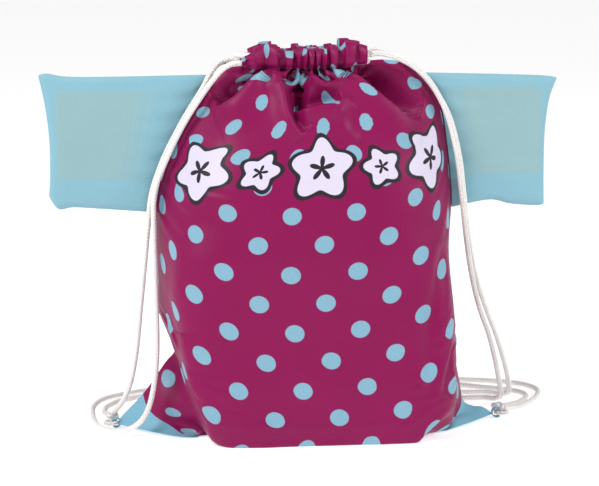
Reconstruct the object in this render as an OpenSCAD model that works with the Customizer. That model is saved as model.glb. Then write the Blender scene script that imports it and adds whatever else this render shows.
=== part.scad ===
// Drawstring backpack cut like a T-shirt: a stuffed bag that stands on its flattened bottom, two flat
// stiffened sleeves sewn into its side seams, and two cords that run through the gathered hem and down
// to the bottom corners. Millimetres. X runs left to right, the front faces -Y, Z is up, and the
// origin is on the floor under the middle of the bag.

/* [Bag] */
// Width of the stuffed bag across its middle
bag_w = 268; // [240:2:300]
// Depth of the stuffed bag from front to back
bag_d = 160; // [150:2:180]
// Height of the top of the bag body, where the gathered hem starts
body_h = 331; // [325:1:345]
// Drawn thickness of the body fabric
fabric_t = 1.6; // [1.2:0.2:2]
// Distance of the left bottom corner from the middle
left_corner_x = 168; // [162:1:172]
// Distance of the right bottom corner from the middle
right_corner_x = 180; // [174:1:184]
// Height at which the bottom corners start to spread
corner_h = 55; // [45:1:70]

/* [Gathered hem] */
// Length of the gathered hem from side to side
hem_w = 120; // [116:2:124]
// Height of the hem tunnel
hem_h = 21; // [20:0.5:24]
// Thickness of each gathered hem from front to back
hem_t = 16; // [15:0.5:18]
// Gap between the front and the back hem
mouth_gap = 12; // [11:0.5:14]
// Number of pleats along each hem
pleats = 11; // [7:1:13]

/* [Cords] */
// Diameter of the braided cord
cord_d = 5; // [4.5:0.1:5.5]

/* [Sleeves] */
// Height of a sleeve
sleeve_h = 122; // [110:1:124]
// Distance of a sleeve's outer end from the middle of the bag
sleeve_x = 236; // [230:1:245]
// Thickness of a sleeve with its card
sleeve_t = 8; // [7:0.5:9]
// Thickness of the stiffening card
card_t = 1.6; // [1:0.1:2]

/* [Hidden] */

magenta = [0.68, 0.17, 0.42];
light_blue = [0.55, 0.78, 0.85];
cord_white = [0.93, 0.92, 0.90];
card_grey = [0.80, 0.78, 0.70];

// ---- bag body: stacked sections, each [height, left reach, right reach, depth], as shares of
// body_h, half of bag_w and half of bag_d
SECTIONS = [
    [1.000, 0.46, 0.70, 0.28], [0.985, 0.50, 0.74, 0.31], [0.967, 0.58, 0.80, 0.37],
    [0.930, 0.65, 0.86, 0.45], [0.876, 0.75, 0.93, 0.54], [0.816, 0.83, 0.98, 0.63],
    [0.737, 0.91, 1.01, 0.73], [0.640, 0.97, 1.01, 0.84], [0.514, 0.98, 1.01, 0.93],
    [0.393, 0.95, 1.01, 0.98], [0.257, 0.90, 1.02, 1.00], [0.136, 0.89, 0.99, 1.00],
    [0.085, 0.89, 0.97, 0.99], [0.045, 0.89, 0.96, 0.97], [0.018, 0.88, 0.95, 0.94],
    [0.000, 0.86, 0.93, 0.90]];
roundness = 2.6;
corner_sharpness = 30;
corner_wall = 22;
side_steps = 26;
mouth_inset = 5;
seam_offset = 0.4;

function section_z(s) = s[0] * body_h;
function reach(s, side) = (side < 0 ? s[1] : s[2]) * bag_w / 2;
function half_depth(s) = s[3] * bag_d / 2;
function corner_x(side) = side < 0 ? left_corner_x : right_corner_x;
function corner_add(s, side, inset) =
    max(0, (corner_x(side) - reach(s, side)) * pow(max(0, 1 - section_z(s) / corner_h), 1.5)
        - (inset > 0 ? corner_wall : 0));
function squared(v) = sign(v) * pow(abs(v), 2 / roundness);

// Angles from the left seam to the right seam, closer together near the seams
ANGLES = [for (i = [0:side_steps]) 180 - 90 * (1 - cos(180 * i / side_steps))];

// The front half of a section
function half_section(s, z, inset) = [for (a = ANGLES)
    let (side = cos(a) < 0 ? -1 : 1)
    [(reach(s, side) - inset) * squared(cos(a))
        + side * corner_add(s, side, inset) * pow(abs(cos(a)), corner_sharpness),
     -(half_depth(s) - inset) * (a == 0 || a == 180 ? 0 : pow(sin(a), 2 / roundness)),
     z]];
// The edge of the mouth under the hem, and the bottom seam, which runs across under the middle
function mouth_edge(z) = [for (a = ANGLES)
    [(hem_w / 2 - mouth_inset) * squared(cos(a)),
     -mouth_gap / 2 * (a == 0 || a == 180 ? 0 : pow(sin(a), 2 / roundness)), z]];
function seam_line(s, z, inset, share) =
    let (ring = half_section(s, z, inset), a = ring[0][0] * share, b = ring[side_steps][0] * share)
    [for (i = [0:side_steps])
        [a + (b - a) * i / side_steps, i == 0 || i == side_steps ? 0 : -seam_offset, z]];

function panel_rings() =
    let (n = len(SECTIONS), last = SECTIONS[n - 1])
    concat(
        [for (s = SECTIONS) half_section(s, section_z(s), 0)],
        [seam_line(last, 0, 0, 0.97), seam_line(last, fabric_t, fabric_t, 0.95)],
        [half_section(last, fabric_t, fabric_t)],
        [for (k = [n - 2:-1:1]) half_section(SECTIONS[k],
            min(max(section_z(SECTIONS[k]), 2 * fabric_t), body_h - 2 * fabric_t), fabric_t)],
        [half_section(SECTIONS[0], body_h - fabric_t, fabric_t)],
        [mouth_edge(body_h - fabric_t), mouth_edge(body_h)]);

ring_pairs = 2 * len(SECTIONS) + 1;

// A closed skin over rings that go down the outside and back up the inside. Ring i lies opposite
// ring last_pair - i across the wall, and the two flat ends are strips between them.
module ring_skin(rings, last_pair) {
    n = len(rings);
    m = len(rings[0]);
    points = [for (r = rings) for (p = r) p];
    sides = [for (k = [0:n - 1]) for (i = [0:m - 2])
        let (a = k * m + i, b = a + 1, c = ((k + 1) % n) * m + i + 1, d = c - 1)
        each [[a, b, c], [a, c, d]]];
    ends = [for (i = [-1:(last_pair - 3) / 2])
        let (a = (i + n) % n, b = i + 1, c = last_pair - i - 1, d = (last_pair - i) % n)
        each [[a * m, b * m, c * m], [a * m, c * m, d * m],
            [c * m + m - 1, b * m + m - 1, a * m + m - 1],
            [d * m + m - 1, c * m + m - 1, a * m + m - 1]]];
    polyhedron(points, concat(sides, ends));
}

// ---- gathered hem
hem_z = body_h;
hem_y = mouth_gap / 2 + hem_t / 2;
pleat_depth = 1.6;
tunnel_t = cord_d + 1;
low_cord_z = hem_z + 6.2;
high_cord_z = low_cord_z + cord_d + 1.6;
tunnel_end = 16;
turn_x = hem_w / 2 - 14;

// Pleated outline of a hem from above, with its flat side towards the mouth
function hem_outline() = concat(
    [for (i = [0:pleats * 6]) let (x = hem_w * (i / (pleats * 6) - 0.5))
        [x, hem_t / 2 - pleat_depth + pleat_depth * cos(360 * i / 6)]],
    [[hem_w / 2, -hem_t / 2], [-hem_w / 2, -hem_t / 2]]);

module hem_tunnel() {
    difference() {
        translate([0, hem_y, hem_z]) linear_extrude(hem_h) polygon(hem_outline());
        translate([-hem_w, hem_y - tunnel_t / 2, low_cord_z - tunnel_t / 2])
            cube([2 * hem_w, tunnel_t, high_cord_z - low_cord_z + tunnel_t]);
        for (side = [-1, 1])
            translate([side * (hem_w / 2 - tunnel_end / 2) - tunnel_end / 2, 0,
                    low_cord_z - tunnel_t / 2])
                cube([tunnel_end, hem_y, high_cord_z - low_cord_z + tunnel_t]);
    }
}

// ---- cords
// A cord's run through the front hem, round at the far side and back through the back hem
module cord_in_hem(z) {
    for (y = [-hem_y, hem_y])
        translate([-hem_w / 2, y, z]) rotate([0, 90, 0])
            cylinder(h = hem_w / 2 + turn_x, d = cord_d, $fn = 24);
    translate([turn_x, 0, z]) rotate([0, 0, -90])
        rotate_extrude(angle = 180, $fn = 48) translate([hem_y, 0]) circle(d = cord_d, $fn = 24);
}

function spline_point(a, b, c, d, t) =
    0.5 * ((2 * b) + (c - a) * t + (2 * a - 5 * b + 4 * c - d) * t * t
        + (3 * b - a - 3 * c + d) * t * t * t);
function spline(pts, steps) = let (n = len(pts)) concat(
    [for (i = [0:n - 2]) for (k = [0:steps - 1])
        spline_point(pts[max(i - 1, 0)], pts[i], pts[i + 1], pts[min(i + 2, n - 1)], k / steps)],
    [pts[n - 1]]);
function unit(v) = v / norm(v);
function direction(path, i) =
    unit(path[min(i + 1, len(path) - 1)] - path[max(i - 1, 0)]);
function carried(n, t) = unit(n - t * (n * t));
// Each ring's side vector is the last one carried along, so that the tube does not twist
function side_vectors(path, i, n) = i >= len(path) ? [] :
    let (here = carried(n, direction(path, i))) concat([here], side_vectors(path, i + 1, here));

module cord_tube(route, steps, start_dir) {
    path = spline(route, steps);
    sides = 8;
    across = side_vectors(path, 0, [0, 0, 1]);
    last = len(path) - 1;
    points = [for (i = [0:last])
        let (t = i == 0 ? start_dir : direction(path, i), u = carried(across[i], t), v = cross(t, u))
        for (k = [0:sides - 1])
            path[i] + cord_d / 2 * (u * cos(360 * k / sides) + v * sin(360 * k / sides))];
    walls = [for (i = [0:last - 1]) for (k = [0:sides - 1])
        let (a = i * sides + k, b = i * sides + (k + 1) % sides)
        each [[a, a + sides, b + sides], [a, b + sides, b]]];
    polyhedron(points, concat(walls,
        [[for (k = [0:sides - 1]) k], [for (k = [sides - 1:-1:0]) last * sides + k]]));
}

// Routes, from the end of the hem to the knot at the bottom corner
LEFT_FRONT = [[-hem_w / 2, -hem_y, low_cord_z], [-66, -14.5, 336], [-76, -15, 329], [-90, -14, 311],
    [-108, -13, 283], [-124, -12, 251], [-135, -12, 220], [-136, -14, 180], [-135, -18, 125],
    [-135, -22, 75], [-139, -30, 42], [-146, -35, 21], [-157, -34, 9], [-171, -26, 3.2],
    [-184, -14, 2.6], [-191, 4, 2.6], [-194, 35, 2.6], [-193, 68, 2.6], [-184, 95, 2.6],
    [-166, 112, 2.6], [-142, 126, 2.6], [-110, 138, 2.6], [-70, 143, 2.6], [-20, 144, 2.6],
    [30, 144, 2.6], [48, 143, 2.6], [58, 139, 2.6], [62, 130, 2.6], [58, 121, 2.6],
    [48, 117, 2.6], [30, 116, 2.6], [-20, 116, 2.6], [-70, 116, 2.6], [-110, 112, 2.6], [-142, 104, 2.6], [-166, 89, 2.6], [-180, 67, 2.6], [-183, 44, 3],
    [-179, 27, 5], [-177, 17, 6.5]];
LEFT_BACK = [[-hem_w / 2, hem_y, low_cord_z], [-66, 13, 337], [-75, 8, 335], [-83, 0, 327],
    [-91, -5, 313], [-109, -5, 284], [-126, -5, 251], [-137, -5, 220], [-141, -5, 190],
    [-145, -4, 150], [-149, -3, 112], [-153, -2, 74], [-158, -1, 46], [-164, 2, 28],
    [-170, 6, 18], [-175, 9, 12]];
RIGHT_FRONT = [[hem_w / 2, -hem_y, high_cord_z], [68, -14, 345], [82, -14, 342], [97, -14, 335],
    [112, -13, 323], [124, -12, 306], [134, -12, 283], [142, -12, 250], [147, -11, 212],
    [153, -6, 170], [160, 2, 135], [169, 10, 104], [180, 18, 76], [188, 26, 50], [194, 35, 27],
    [198, 45, 11], [196, 57, 3.4], [185, 64, 2.6], [168, 64, 2.6], [146, 67, 2.6], [126, 76, 2.6],
    [109, 88, 2.6], [97, 102, 2.6], [93, 117, 2.6], [99, 131, 2.6], [114, 140, 2.6], [142, 142, 2.6],
    [180, 137, 2.6], [212, 127, 2.6], [233, 114, 2.6], [243, 95, 2.6], [241, 74, 2.6],
    [230, 50, 2.6], [215, 30, 2.6], [203, 18, 4], [194, 12, 6]];
RIGHT_BACK = [[hem_w / 2, hem_y, high_cord_z], [69, 12, 346], [83, 6, 343], [97, -1, 336],
    [111, -5, 324], [124, -5, 307], [136, -5, 284], [145, -5, 250], [150, -5, 212],
    [157, 1, 168], [166, 9, 132], [177, 17, 101], [189, 27, 73], [199, 38, 46], [206, 50, 24],
    [209, 62, 9], [205, 75, 3], [193, 84, 2.6], [175, 86, 2.6], [158, 90, 2.6], [145, 97, 2.6],
    [138, 108, 2.6], [140, 118, 2.6], [150, 124, 2.6], [165, 120, 2.6],
    [183, 110, 2.6], [203, 99, 2.6], [221, 87, 2.6], [228, 71, 2.6], [222, 52, 2.6],
    [210, 38, 2.6], [198, 27, 4], [188, 17, 6.5]];

// ---- loops sewn into the bottom corners, and the knots that tie the cords to them
tape_t = 1;
tape_w = 5;
loop_r = 4.6;
knot_r = 6.2;
knot_out = 8;
knot_back = 11.6;
knot_up = 6.5;
bight_r = 5;
bight_d = cord_d - 1;

module corner_loop(side) {
    translate([side * (corner_x(side) + loop_r), 0, loop_r]) rotate([90, 0, 0])
        difference() {
            cylinder(h = tape_w, r = loop_r, center = true, $fn = 48);
            cylinder(h = 2 * tape_w, r = loop_r - tape_t, center = true, $fn = 48);
        }
}

// The bight goes through the loop and round its outer side, into the body of the knot behind it
module cord_knot(side) {
    translate([side * (corner_x(side) + loop_r + bight_r), 0, loop_r])
        rotate_extrude($fn = 48) translate([bight_r, 0]) circle(d = bight_d, $fn = 24);
    translate([side * (corner_x(side) + knot_out), knot_back, knot_up]) sphere(r = knot_r, $fn = 32);
}

// ---- sleeves: outlines from the front, in mm from the middle of the bag, root edge last
sleeve_top = 325;
sleeve_low = sleeve_top - sleeve_h;
left_root = [[-99, sleeve_top + 1], [-149, 200]];
right_root = [[128, sleeve_top + 1], [151, 200]];
LEFT_SLEEVE = [[-103, sleeve_top], [-sleeve_x, sleeve_top + 1], [-231, sleeve_top - 30],
    [-229, sleeve_low + 40], [-231, sleeve_low + 14], [-220, sleeve_low], [-151, sleeve_low + 1]];
RIGHT_SLEEVE = [[131, sleeve_top], [sleeve_x, sleeve_top - 4], [229, sleeve_top - 30],
    [226, sleeve_low + 50], [227, sleeve_low + 2], [200, sleeve_low], [154, sleeve_low + 4]];
root_r = sleeve_t / 2;
roll_inset = 3;
skin_t = (sleeve_t - card_t) / 2 - 0.4;
card_margin = 9;
pocket_gap = 1;

// The rolled seam allowance along the root, which the sleeve turns about
module root_roll(root) {
    a = root[0];
    b = root[1];
    start = a + roll_inset * unit(b - a);
    translate([start[0], sleeve_t / 2, start[1]])
        rotate([0, atan2(b[0] - a[0], b[1] - a[1]), 0])
            cylinder(h = norm(b - a) - 2 * roll_inset, r = root_r, $fn = 40);
}

module sleeve_plate(outline, y0, y1) {
    translate([0, y1, 0]) rotate([90, 0, 0]) linear_extrude(y1 - y0) polygon(outline);
}

// The card's inner edge runs along the root, and grow makes its pocket a little larger
function card_outline(side, outline, grow) =
    let (top = sleeve_top - 12 + grow, low = sleeve_low + 28 - grow,
         slope = (outline[6][0] - outline[0][0]) / (outline[6][1] - outline[0][1]),
         edge = outline[0][0] + side * (card_margin - grow),
         out_x = side * (sleeve_x - 13 + grow))
    [[edge + slope * (low - outline[0][1]), low], [out_x, low], [out_x, top],
     [edge + slope * (top - outline[0][1]), top]];

module sleeve_half(side, outline, root, face) {
    near = face < 0 ? 0 : sleeve_t / 2;
    difference() {
        union() {
            sleeve_plate(outline, near, near + sleeve_t / 2);
            intersection() {
                root_roll(root);
                translate([-300, near, 150]) cube([600, sleeve_t / 2, 250]);
            }
        }
        sleeve_plate(card_outline(side, outline, pocket_gap), skin_t, sleeve_t - skin_t);
    }
}

module sleeve_card(side, outline) {
    sleeve_plate(card_outline(side, outline, 0), (sleeve_t - card_t) / 2, (sleeve_t + card_t) / 2);
}

// ---- the pieces
module front_panel() { color(magenta) ring_skin(panel_rings(), ring_pairs); }
module back_panel() { color(magenta) mirror([0, 1, 0]) ring_skin(panel_rings(), ring_pairs); }
module front_hem() { color(magenta) mirror([0, 1, 0]) hem_tunnel(); }
module back_hem() { color(magenta) hem_tunnel(); }
module left_cord_in_hem() { color(cord_white) cord_in_hem(low_cord_z); }
module right_cord_in_hem() { color(cord_white) mirror([1, 0, 0]) cord_in_hem(high_cord_z); }
module left_cord_front_strand() { color(cord_white) cord_tube(LEFT_FRONT, 2, [-1, 0, 0]); }
module left_cord_back_strand() { color(cord_white) cord_tube(LEFT_BACK, 2, [-1, 0, 0]); }
module right_cord_front_strand() { color(cord_white) cord_tube(RIGHT_FRONT, 2, [1, 0, 0]); }
module right_cord_back_strand() { color(cord_white) cord_tube(RIGHT_BACK, 2, [1, 0, 0]); }
module left_cord_knot() { color(cord_white) cord_knot(-1); }
module right_cord_knot() { color(cord_white) cord_knot(1); }
module left_corner_loop() { color(light_blue) corner_loop(-1); }
module right_corner_loop() { color(light_blue) corner_loop(1); }
module left_sleeve_front() { color(light_blue) sleeve_half(-1, LEFT_SLEEVE, left_root, -1); }
module left_sleeve_back() { color(light_blue) sleeve_half(-1, LEFT_SLEEVE, left_root, 1); }
module left_sleeve_card() { color(card_grey) sleeve_card(-1, LEFT_SLEEVE); }
module right_sleeve_front() { color(light_blue) sleeve_half(1, RIGHT_SLEEVE, right_root, -1); }
module right_sleeve_back() { color(light_blue) sleeve_half(1, RIGHT_SLEEVE, right_root, 1); }
module right_sleeve_card() { color(card_grey) sleeve_card(1, RIGHT_SLEEVE); }

front_panel();
back_panel();
front_hem();
back_hem();
left_cord_in_hem();
right_cord_in_hem();
left_cord_front_strand();
left_cord_back_strand();
right_cord_front_strand();
right_cord_back_strand();
left_cord_knot();
right_cord_knot();
left_corner_loop();
right_corner_loop();
left_sleeve_front();
left_sleeve_back();
left_sleeve_card();
right_sleeve_front();
right_sleeve_back();
right_sleeve_card();
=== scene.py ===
# Drawstring backpack cut like a T-shirt: a stuffed polyester bag with polka dots, two flat card-stiffened
# sleeves, and two white cords that gather the mouth and run down to the bottom corners. Metres, +Z up,
# front -Y, origin on the floor under the middle of the bag.
import math
import bpy
import numpy as np
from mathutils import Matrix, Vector


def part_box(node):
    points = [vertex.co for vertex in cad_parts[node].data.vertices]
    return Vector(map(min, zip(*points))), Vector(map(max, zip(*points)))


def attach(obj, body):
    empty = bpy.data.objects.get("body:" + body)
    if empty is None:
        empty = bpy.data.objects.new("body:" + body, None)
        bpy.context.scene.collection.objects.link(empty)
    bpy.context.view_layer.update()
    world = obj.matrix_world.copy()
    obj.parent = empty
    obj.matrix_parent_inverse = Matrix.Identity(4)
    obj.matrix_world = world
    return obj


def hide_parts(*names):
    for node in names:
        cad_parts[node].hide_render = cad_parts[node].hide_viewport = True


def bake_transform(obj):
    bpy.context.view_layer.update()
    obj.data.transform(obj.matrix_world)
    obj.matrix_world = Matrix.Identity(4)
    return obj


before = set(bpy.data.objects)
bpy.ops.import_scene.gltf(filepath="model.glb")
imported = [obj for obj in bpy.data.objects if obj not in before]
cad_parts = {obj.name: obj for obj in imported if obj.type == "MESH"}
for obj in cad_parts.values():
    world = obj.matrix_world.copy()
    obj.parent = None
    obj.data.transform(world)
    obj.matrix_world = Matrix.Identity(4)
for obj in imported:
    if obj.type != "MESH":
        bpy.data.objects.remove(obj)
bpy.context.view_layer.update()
scene = bpy.context.scene
scene.view_settings.view_transform = "Standard"

# ---- Camera
# A long lens on a tripod in front of the bag, a little above it and a little to its left, aimed at its
# middle.
LOOK_AT = np.array([-0.002, 0.0, 0.170])
CAMERA_TURN = math.radians(-6)
CAMERA_RISE = math.radians(10)
CAMERA_AWAY = 1.9
LENS_MM, SENSOR_MM = 124.1, 36
camera_side = np.array([math.sin(CAMERA_TURN) * math.cos(CAMERA_RISE),
                        -math.cos(CAMERA_TURN) * math.cos(CAMERA_RISE), math.sin(CAMERA_RISE)])
camera = bpy.data.objects.new("camera", bpy.data.cameras.new("camera"))
scene.collection.objects.link(camera)
camera.location = LOOK_AT + camera_side * CAMERA_AWAY
camera.rotation_euler = Vector(-camera_side).to_track_quat("-Z", "Y").to_euler()
camera.data.sensor_width = SENSOR_MM
camera.data.lens = LENS_MM
scene.camera = camera

# ---- Cords
# Two round braided polyester cords, 5 mm thick. Each runs from a bottom corner up the bag, through the
# front and back hem and down to the same corner again, with its slack lying on the floor in long loops.
# The routes are in millimetres, from the hem to the knot.
CORD_D = 0.005
CORD_STEP = 0.0011
CORD_SIDES = 18
BRAID_PITCH, BRAID_STRANDS, BRAID_RELIEF = 0.0034, 4, 0.035
LEFT_FRONT = [(-60, -14, 337.2), (-66, -14.5, 336), (-76, -15, 329), (-90, -14, 311), (-108, -13, 283),
              (-124, -12, 251), (-135, -12, 220), (-136, -14, 180), (-135, -18, 125), (-135, -22, 75),
              (-139, -30, 42), (-146, -35, 21), (-157, -34, 9), (-171, -26, 3.2), (-184, -14, 2.6),
              (-191, 4, 2.6), (-194, 35, 2.6), (-193, 68, 2.6), (-184, 95, 2.6), (-166, 112, 2.6),
              (-142, 126, 2.6), (-110, 138, 2.6), (-70, 143, 2.6), (-20, 144, 2.6), (30, 144, 2.6),
              (48, 143, 2.6), (58, 139, 2.6), (62, 130, 2.6), (58, 121, 2.6), (48, 117, 2.6),
              (30, 116, 2.6), (-20, 116, 2.6), (-70, 116, 2.6), (-110, 112, 2.6), (-142, 104, 2.6),
              (-166, 89, 2.6), (-180, 67, 2.6), (-183, 44, 3), (-179, 27, 5), (-177, 17, 6.5)]
LEFT_BACK = [(-60, 14, 337.2), (-66, 13, 337), (-75, 8, 335), (-83, 0, 327), (-91, -5, 313),
             (-109, -5, 284), (-126, -5, 251), (-137, -5, 220), (-141, -5, 190), (-145, -4, 150),
             (-149, -3, 112), (-153, -2, 74), (-158, -1, 46), (-164, 2, 28), (-170, 6, 18),
             (-175, 9, 12)]
RIGHT_FRONT = [(60, -14, 343.8), (68, -14, 345), (82, -14, 342), (97, -14, 335), (112, -13, 323),
               (124, -12, 306), (134, -12, 283), (142, -12, 250), (147, -11, 212), (153, -6, 170),
               (160, 2, 135), (169, 10, 104), (180, 18, 76), (188, 26, 50), (194, 35, 27),
               (198, 45, 11), (196, 57, 3.4), (185, 64, 2.6), (168, 64, 2.6), (146, 67, 2.6),
               (126, 76, 2.6), (109, 88, 2.6), (97, 102, 2.6), (93, 117, 2.6), (99, 131, 2.6),
               (114, 140, 2.6), (142, 142, 2.6), (180, 137, 2.6), (212, 127, 2.6), (233, 114, 2.6),
               (243, 95, 2.6), (241, 74, 2.6), (230, 50, 2.6), (215, 30, 2.6), (203, 18, 4),
               (194, 12, 6)]
RIGHT_BACK = [(60, 14, 343.8), (69, 12, 346), (83, 6, 343), (97, -1, 336), (111, -5, 324),
              (124, -5, 307), (136, -5, 284), (145, -5, 250), (150, -5, 212), (157, 1, 168),
              (166, 9, 132), (177, 17, 101), (189, 27, 73), (199, 38, 46), (206, 50, 24),
              (209, 62, 9), (205, 75, 3), (193, 84, 2.6), (175, 86, 2.6), (158, 90, 2.6),
              (145, 97, 2.6), (138, 108, 2.6), (140, 118, 2.6), (150, 124, 2.6), (165, 120, 2.6),
              (183, 110, 2.6), (203, 99, 2.6), (221, 87, 2.6), (228, 71, 2.6), (222, 52, 2.6),
              (210, 38, 2.6), (198, 27, 4), (188, 17, 6.5)]


def arc_lengths(points):
    return np.concatenate([[0], np.cumsum(np.linalg.norm(np.diff(points, axis=0), axis=1))])


def resampled(points, shares):
    length = arc_lengths(points)
    return np.stack([np.interp(np.asarray(shares) * length[-1], length, points[:, k])
                     for k in range(points.shape[1])], axis=1)


def smooth_line(points, count, per_span=16):
    """An even run of count points on the smooth curve through the given ones."""
    given = np.array(points, float)
    line = []
    for i in range(len(given) - 1):
        a, b = given[max(i - 1, 0)], given[i]
        c, d = given[i + 1], given[min(i + 2, len(given) - 1)]
        for t in np.arange(per_span) / per_span:
            line.append(0.5 * (2 * b + (c - a) * t + (2 * a - 5 * b + 4 * c - d) * t * t
                               + (3 * b - a - 3 * c + d) * t ** 3))
    line.append(given[-1])
    return resampled(np.array(line), np.linspace(0, 1, count))


def piece_from(name, points, faces, cut=None, materials=()):
    """A mesh object. cut is each vertex's place on the flat cloth or along the cord, in metres."""
    mesh = bpy.data.meshes.new(name)
    mesh.from_pydata(np.asarray(points, float).tolist(), [], [tuple(int(v) for v in f) for f in faces])
    if cut is not None:
        mesh.attributes.new("cut", "FLOAT_VECTOR", "POINT").data.foreach_set(
            "vector", np.asarray(cut, np.float32).ravel())
    for material in materials:
        mesh.materials.append(material)
    mesh.polygons.foreach_set("use_smooth", [True] * len(mesh.polygons))
    mesh.update()
    piece = bpy.data.objects.new(name, mesh)
    scene.collection.objects.link(piece)
    return piece


def linear(red, green, blue):
    """A screen colour, 0 to 255, as the linear colour that a shader takes."""
    def one(v):
        v /= 255
        return v / 12.92 if v <= 0.04045 else ((v + 0.055) / 1.055) ** 2.4
    return (one(red), one(green), one(blue), 1.0)


def add_node(tree, kind, settings=(), **sockets):
    """Adds a shader node. settings are its properties; sockets are values or links, by socket name."""
    made = tree.nodes.new(kind)
    for key, value in dict(settings).items():
        setattr(made, key, value)
    for key, value in sockets.items():
        name = key.replace("_", " ")
        socket = made.inputs[int(name[1:])] if name[:1] == "n" and name[1:].isdigit() else made.inputs[name]
        if isinstance(value, bpy.types.NodeSocket):
            tree.links.new(value, socket)
        else:
            socket.default_value = value
    return made


def maths(tree, operation, *values):
    made = add_node(tree, "ShaderNodeMath", {"operation": operation},
                    **{f"n{i}": v for i, v in enumerate(values)})
    return made.outputs[0]


def mixed(tree, share, first, second):
    made = add_node(tree, "ShaderNodeMix", {"data_type": "RGBA"}, n0=share, n6=first, n7=second)
    return made.outputs[2]


def new_group(name, inputs, outputs):
    """An empty shader node group, with its input node's and output node's sockets."""
    group = bpy.data.node_groups.new(name, "ShaderNodeTree")
    for socket, kind in inputs:
        group.interface.new_socket(socket, in_out="INPUT", socket_type=kind)
    for socket, kind in outputs:
        group.interface.new_socket(socket, in_out="OUTPUT", socket_type=kind)
    return group, group.nodes.new("NodeGroupInput").outputs, group.nodes.new("NodeGroupOutput").inputs


def new_material(name, **constants):
    """A material with one Principled shader, whose constants are set on its own sockets."""
    material = bpy.data.materials.new(name)
    material.use_nodes = True
    shader = material.node_tree.nodes["Principled BSDF"]
    for key, value in constants.items():
        shader.inputs[key.replace("_", " ")].default_value = value
    return material, material.node_tree, shader


def cut_place(tree):
    return add_node(tree, "ShaderNodeAttribute", {"attribute_name": "cut"}).outputs["Vector"]


def placed(tree, group, **sockets):
    return add_node(tree, "ShaderNodeGroup", {"node_tree": group}, **sockets).outputs


def split(tree, vector):
    return add_node(tree, "ShaderNodeSeparateXYZ", Vector=vector).outputs


def finish_surface(tree, shader, colour, roughness=None, bump=None):
    """roughness is (noise, its spread, the least); bump is (height, strength, depth in metres)."""
    tree.links.new(colour, shader.inputs["Base Color"])
    if roughness:
        tree.links.new(maths(tree, "MULTIPLY_ADD", *roughness), shader.inputs["Roughness"])
    if bump:
        height, strength, depth = bump
        made = add_node(tree, "ShaderNodeBump", Strength=strength, Distance=depth, Height=height)
        tree.links.new(made.outputs[0], shader.inputs["Normal"])


# Handling marks and uneven dye, used by every material here
group, given, result = new_group(
    "uneven_dye", [("Place", "NodeSocketVector"), ("Patch Size", "NodeSocketFloat")],
    [("Shade", "NodeSocketFloat"), ("Gloss", "NodeSocketFloat")])
scale = maths(group, "DIVIDE", 1.0, given["Patch Size"])
patches = add_node(group, "ShaderNodeTexNoise", Vector=given["Place"], Scale=scale, Detail=3.0)
grain = add_node(group, "ShaderNodeTexNoise", Vector=given["Place"],
                 Scale=maths(group, "MULTIPLY", scale, 23.0), Detail=1.0)
group.links.new(maths(group, "MULTIPLY_ADD", grain.outputs[0], 0.35,
                      maths(group, "MULTIPLY", patches.outputs[0], 0.65)), result["Shade"])
group.links.new(patches.outputs[0], result["Gloss"])
uneven_dye = group

# The braid: strands that cross in two directions round the cord, with fine yarns along each. Its colour is
# darker down between the strands, which is painted shade.
cord_cloth, tree, shader = new_material("braided_cord", Sheen_Weight=0.25, Sheen_Roughness=0.5,
                                        Specular_IOR_Level=0.25)
place = cut_place(tree)
axes = split(tree, place)
turns = maths(tree, "MULTIPLY", axes[0], 2 * math.pi / BRAID_PITCH)
rounds = maths(tree, "MULTIPLY", axes[2], 2 * math.pi * BRAID_STRANDS)
one_way = maths(tree, "SINE", maths(tree, "ADD", turns, rounds))
other_way = maths(tree, "SINE", maths(tree, "SUBTRACT", turns, rounds))
braid = maths(tree, "MAXIMUM", one_way, other_way)
yarns = maths(tree, "SINE", maths(tree, "MULTIPLY", maths(tree, "ADD", turns, rounds), 4.0))
dye = placed(tree, uneven_dye, Place=place, Patch_Size=0.02)
# painted shade where the braid dips between strands, added to the dye's uneven tone
braid_shade_and_dye = maths(tree, "MULTIPLY_ADD", braid, 0.16, maths(tree, "MULTIPLY_ADD", dye["Shade"], 0.3, 0.62))
finish_surface(tree, shader, mixed(tree, braid_shade_and_dye, linear(222, 213, 210), linear(252, 249, 246)),
               roughness=(dye["Gloss"], 0.2, 0.55),
               bump=(maths(tree, "MULTIPLY_ADD", yarns, 0.12, braid), 0.7, 0.0005))


def side_vectors(line):
    """For each point of a line, two vectors across it that do not twist."""
    ahead = np.gradient(line, axis=0)
    ahead /= np.linalg.norm(ahead, axis=1)[:, None]
    across = np.cross(ahead[0], [0.03, 0.07, 1.0])
    first = []
    for direction in ahead:
        across = across - direction * (across @ direction)
        across /= np.linalg.norm(across)
        first.append(across)
    first = np.array(first)
    return first, np.cross(ahead, first)


def tube_faces(rings, sides, joined=False):
    """The faces round a tube, capped at both ends unless its last ring is joined to its first."""
    spans = rings if joined else rings - 1
    faces = [(k * sides + i, k * sides + (i + 1) % sides,
              (k + 1) % rings * sides + (i + 1) % sides, (k + 1) % rings * sides + i)
             for k in range(spans) for i in range(sides)]
    if not joined:
        faces += [tuple(reversed(range(sides))), tuple(range((rings - 1) * sides, rings * sides))]
    return faces


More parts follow.
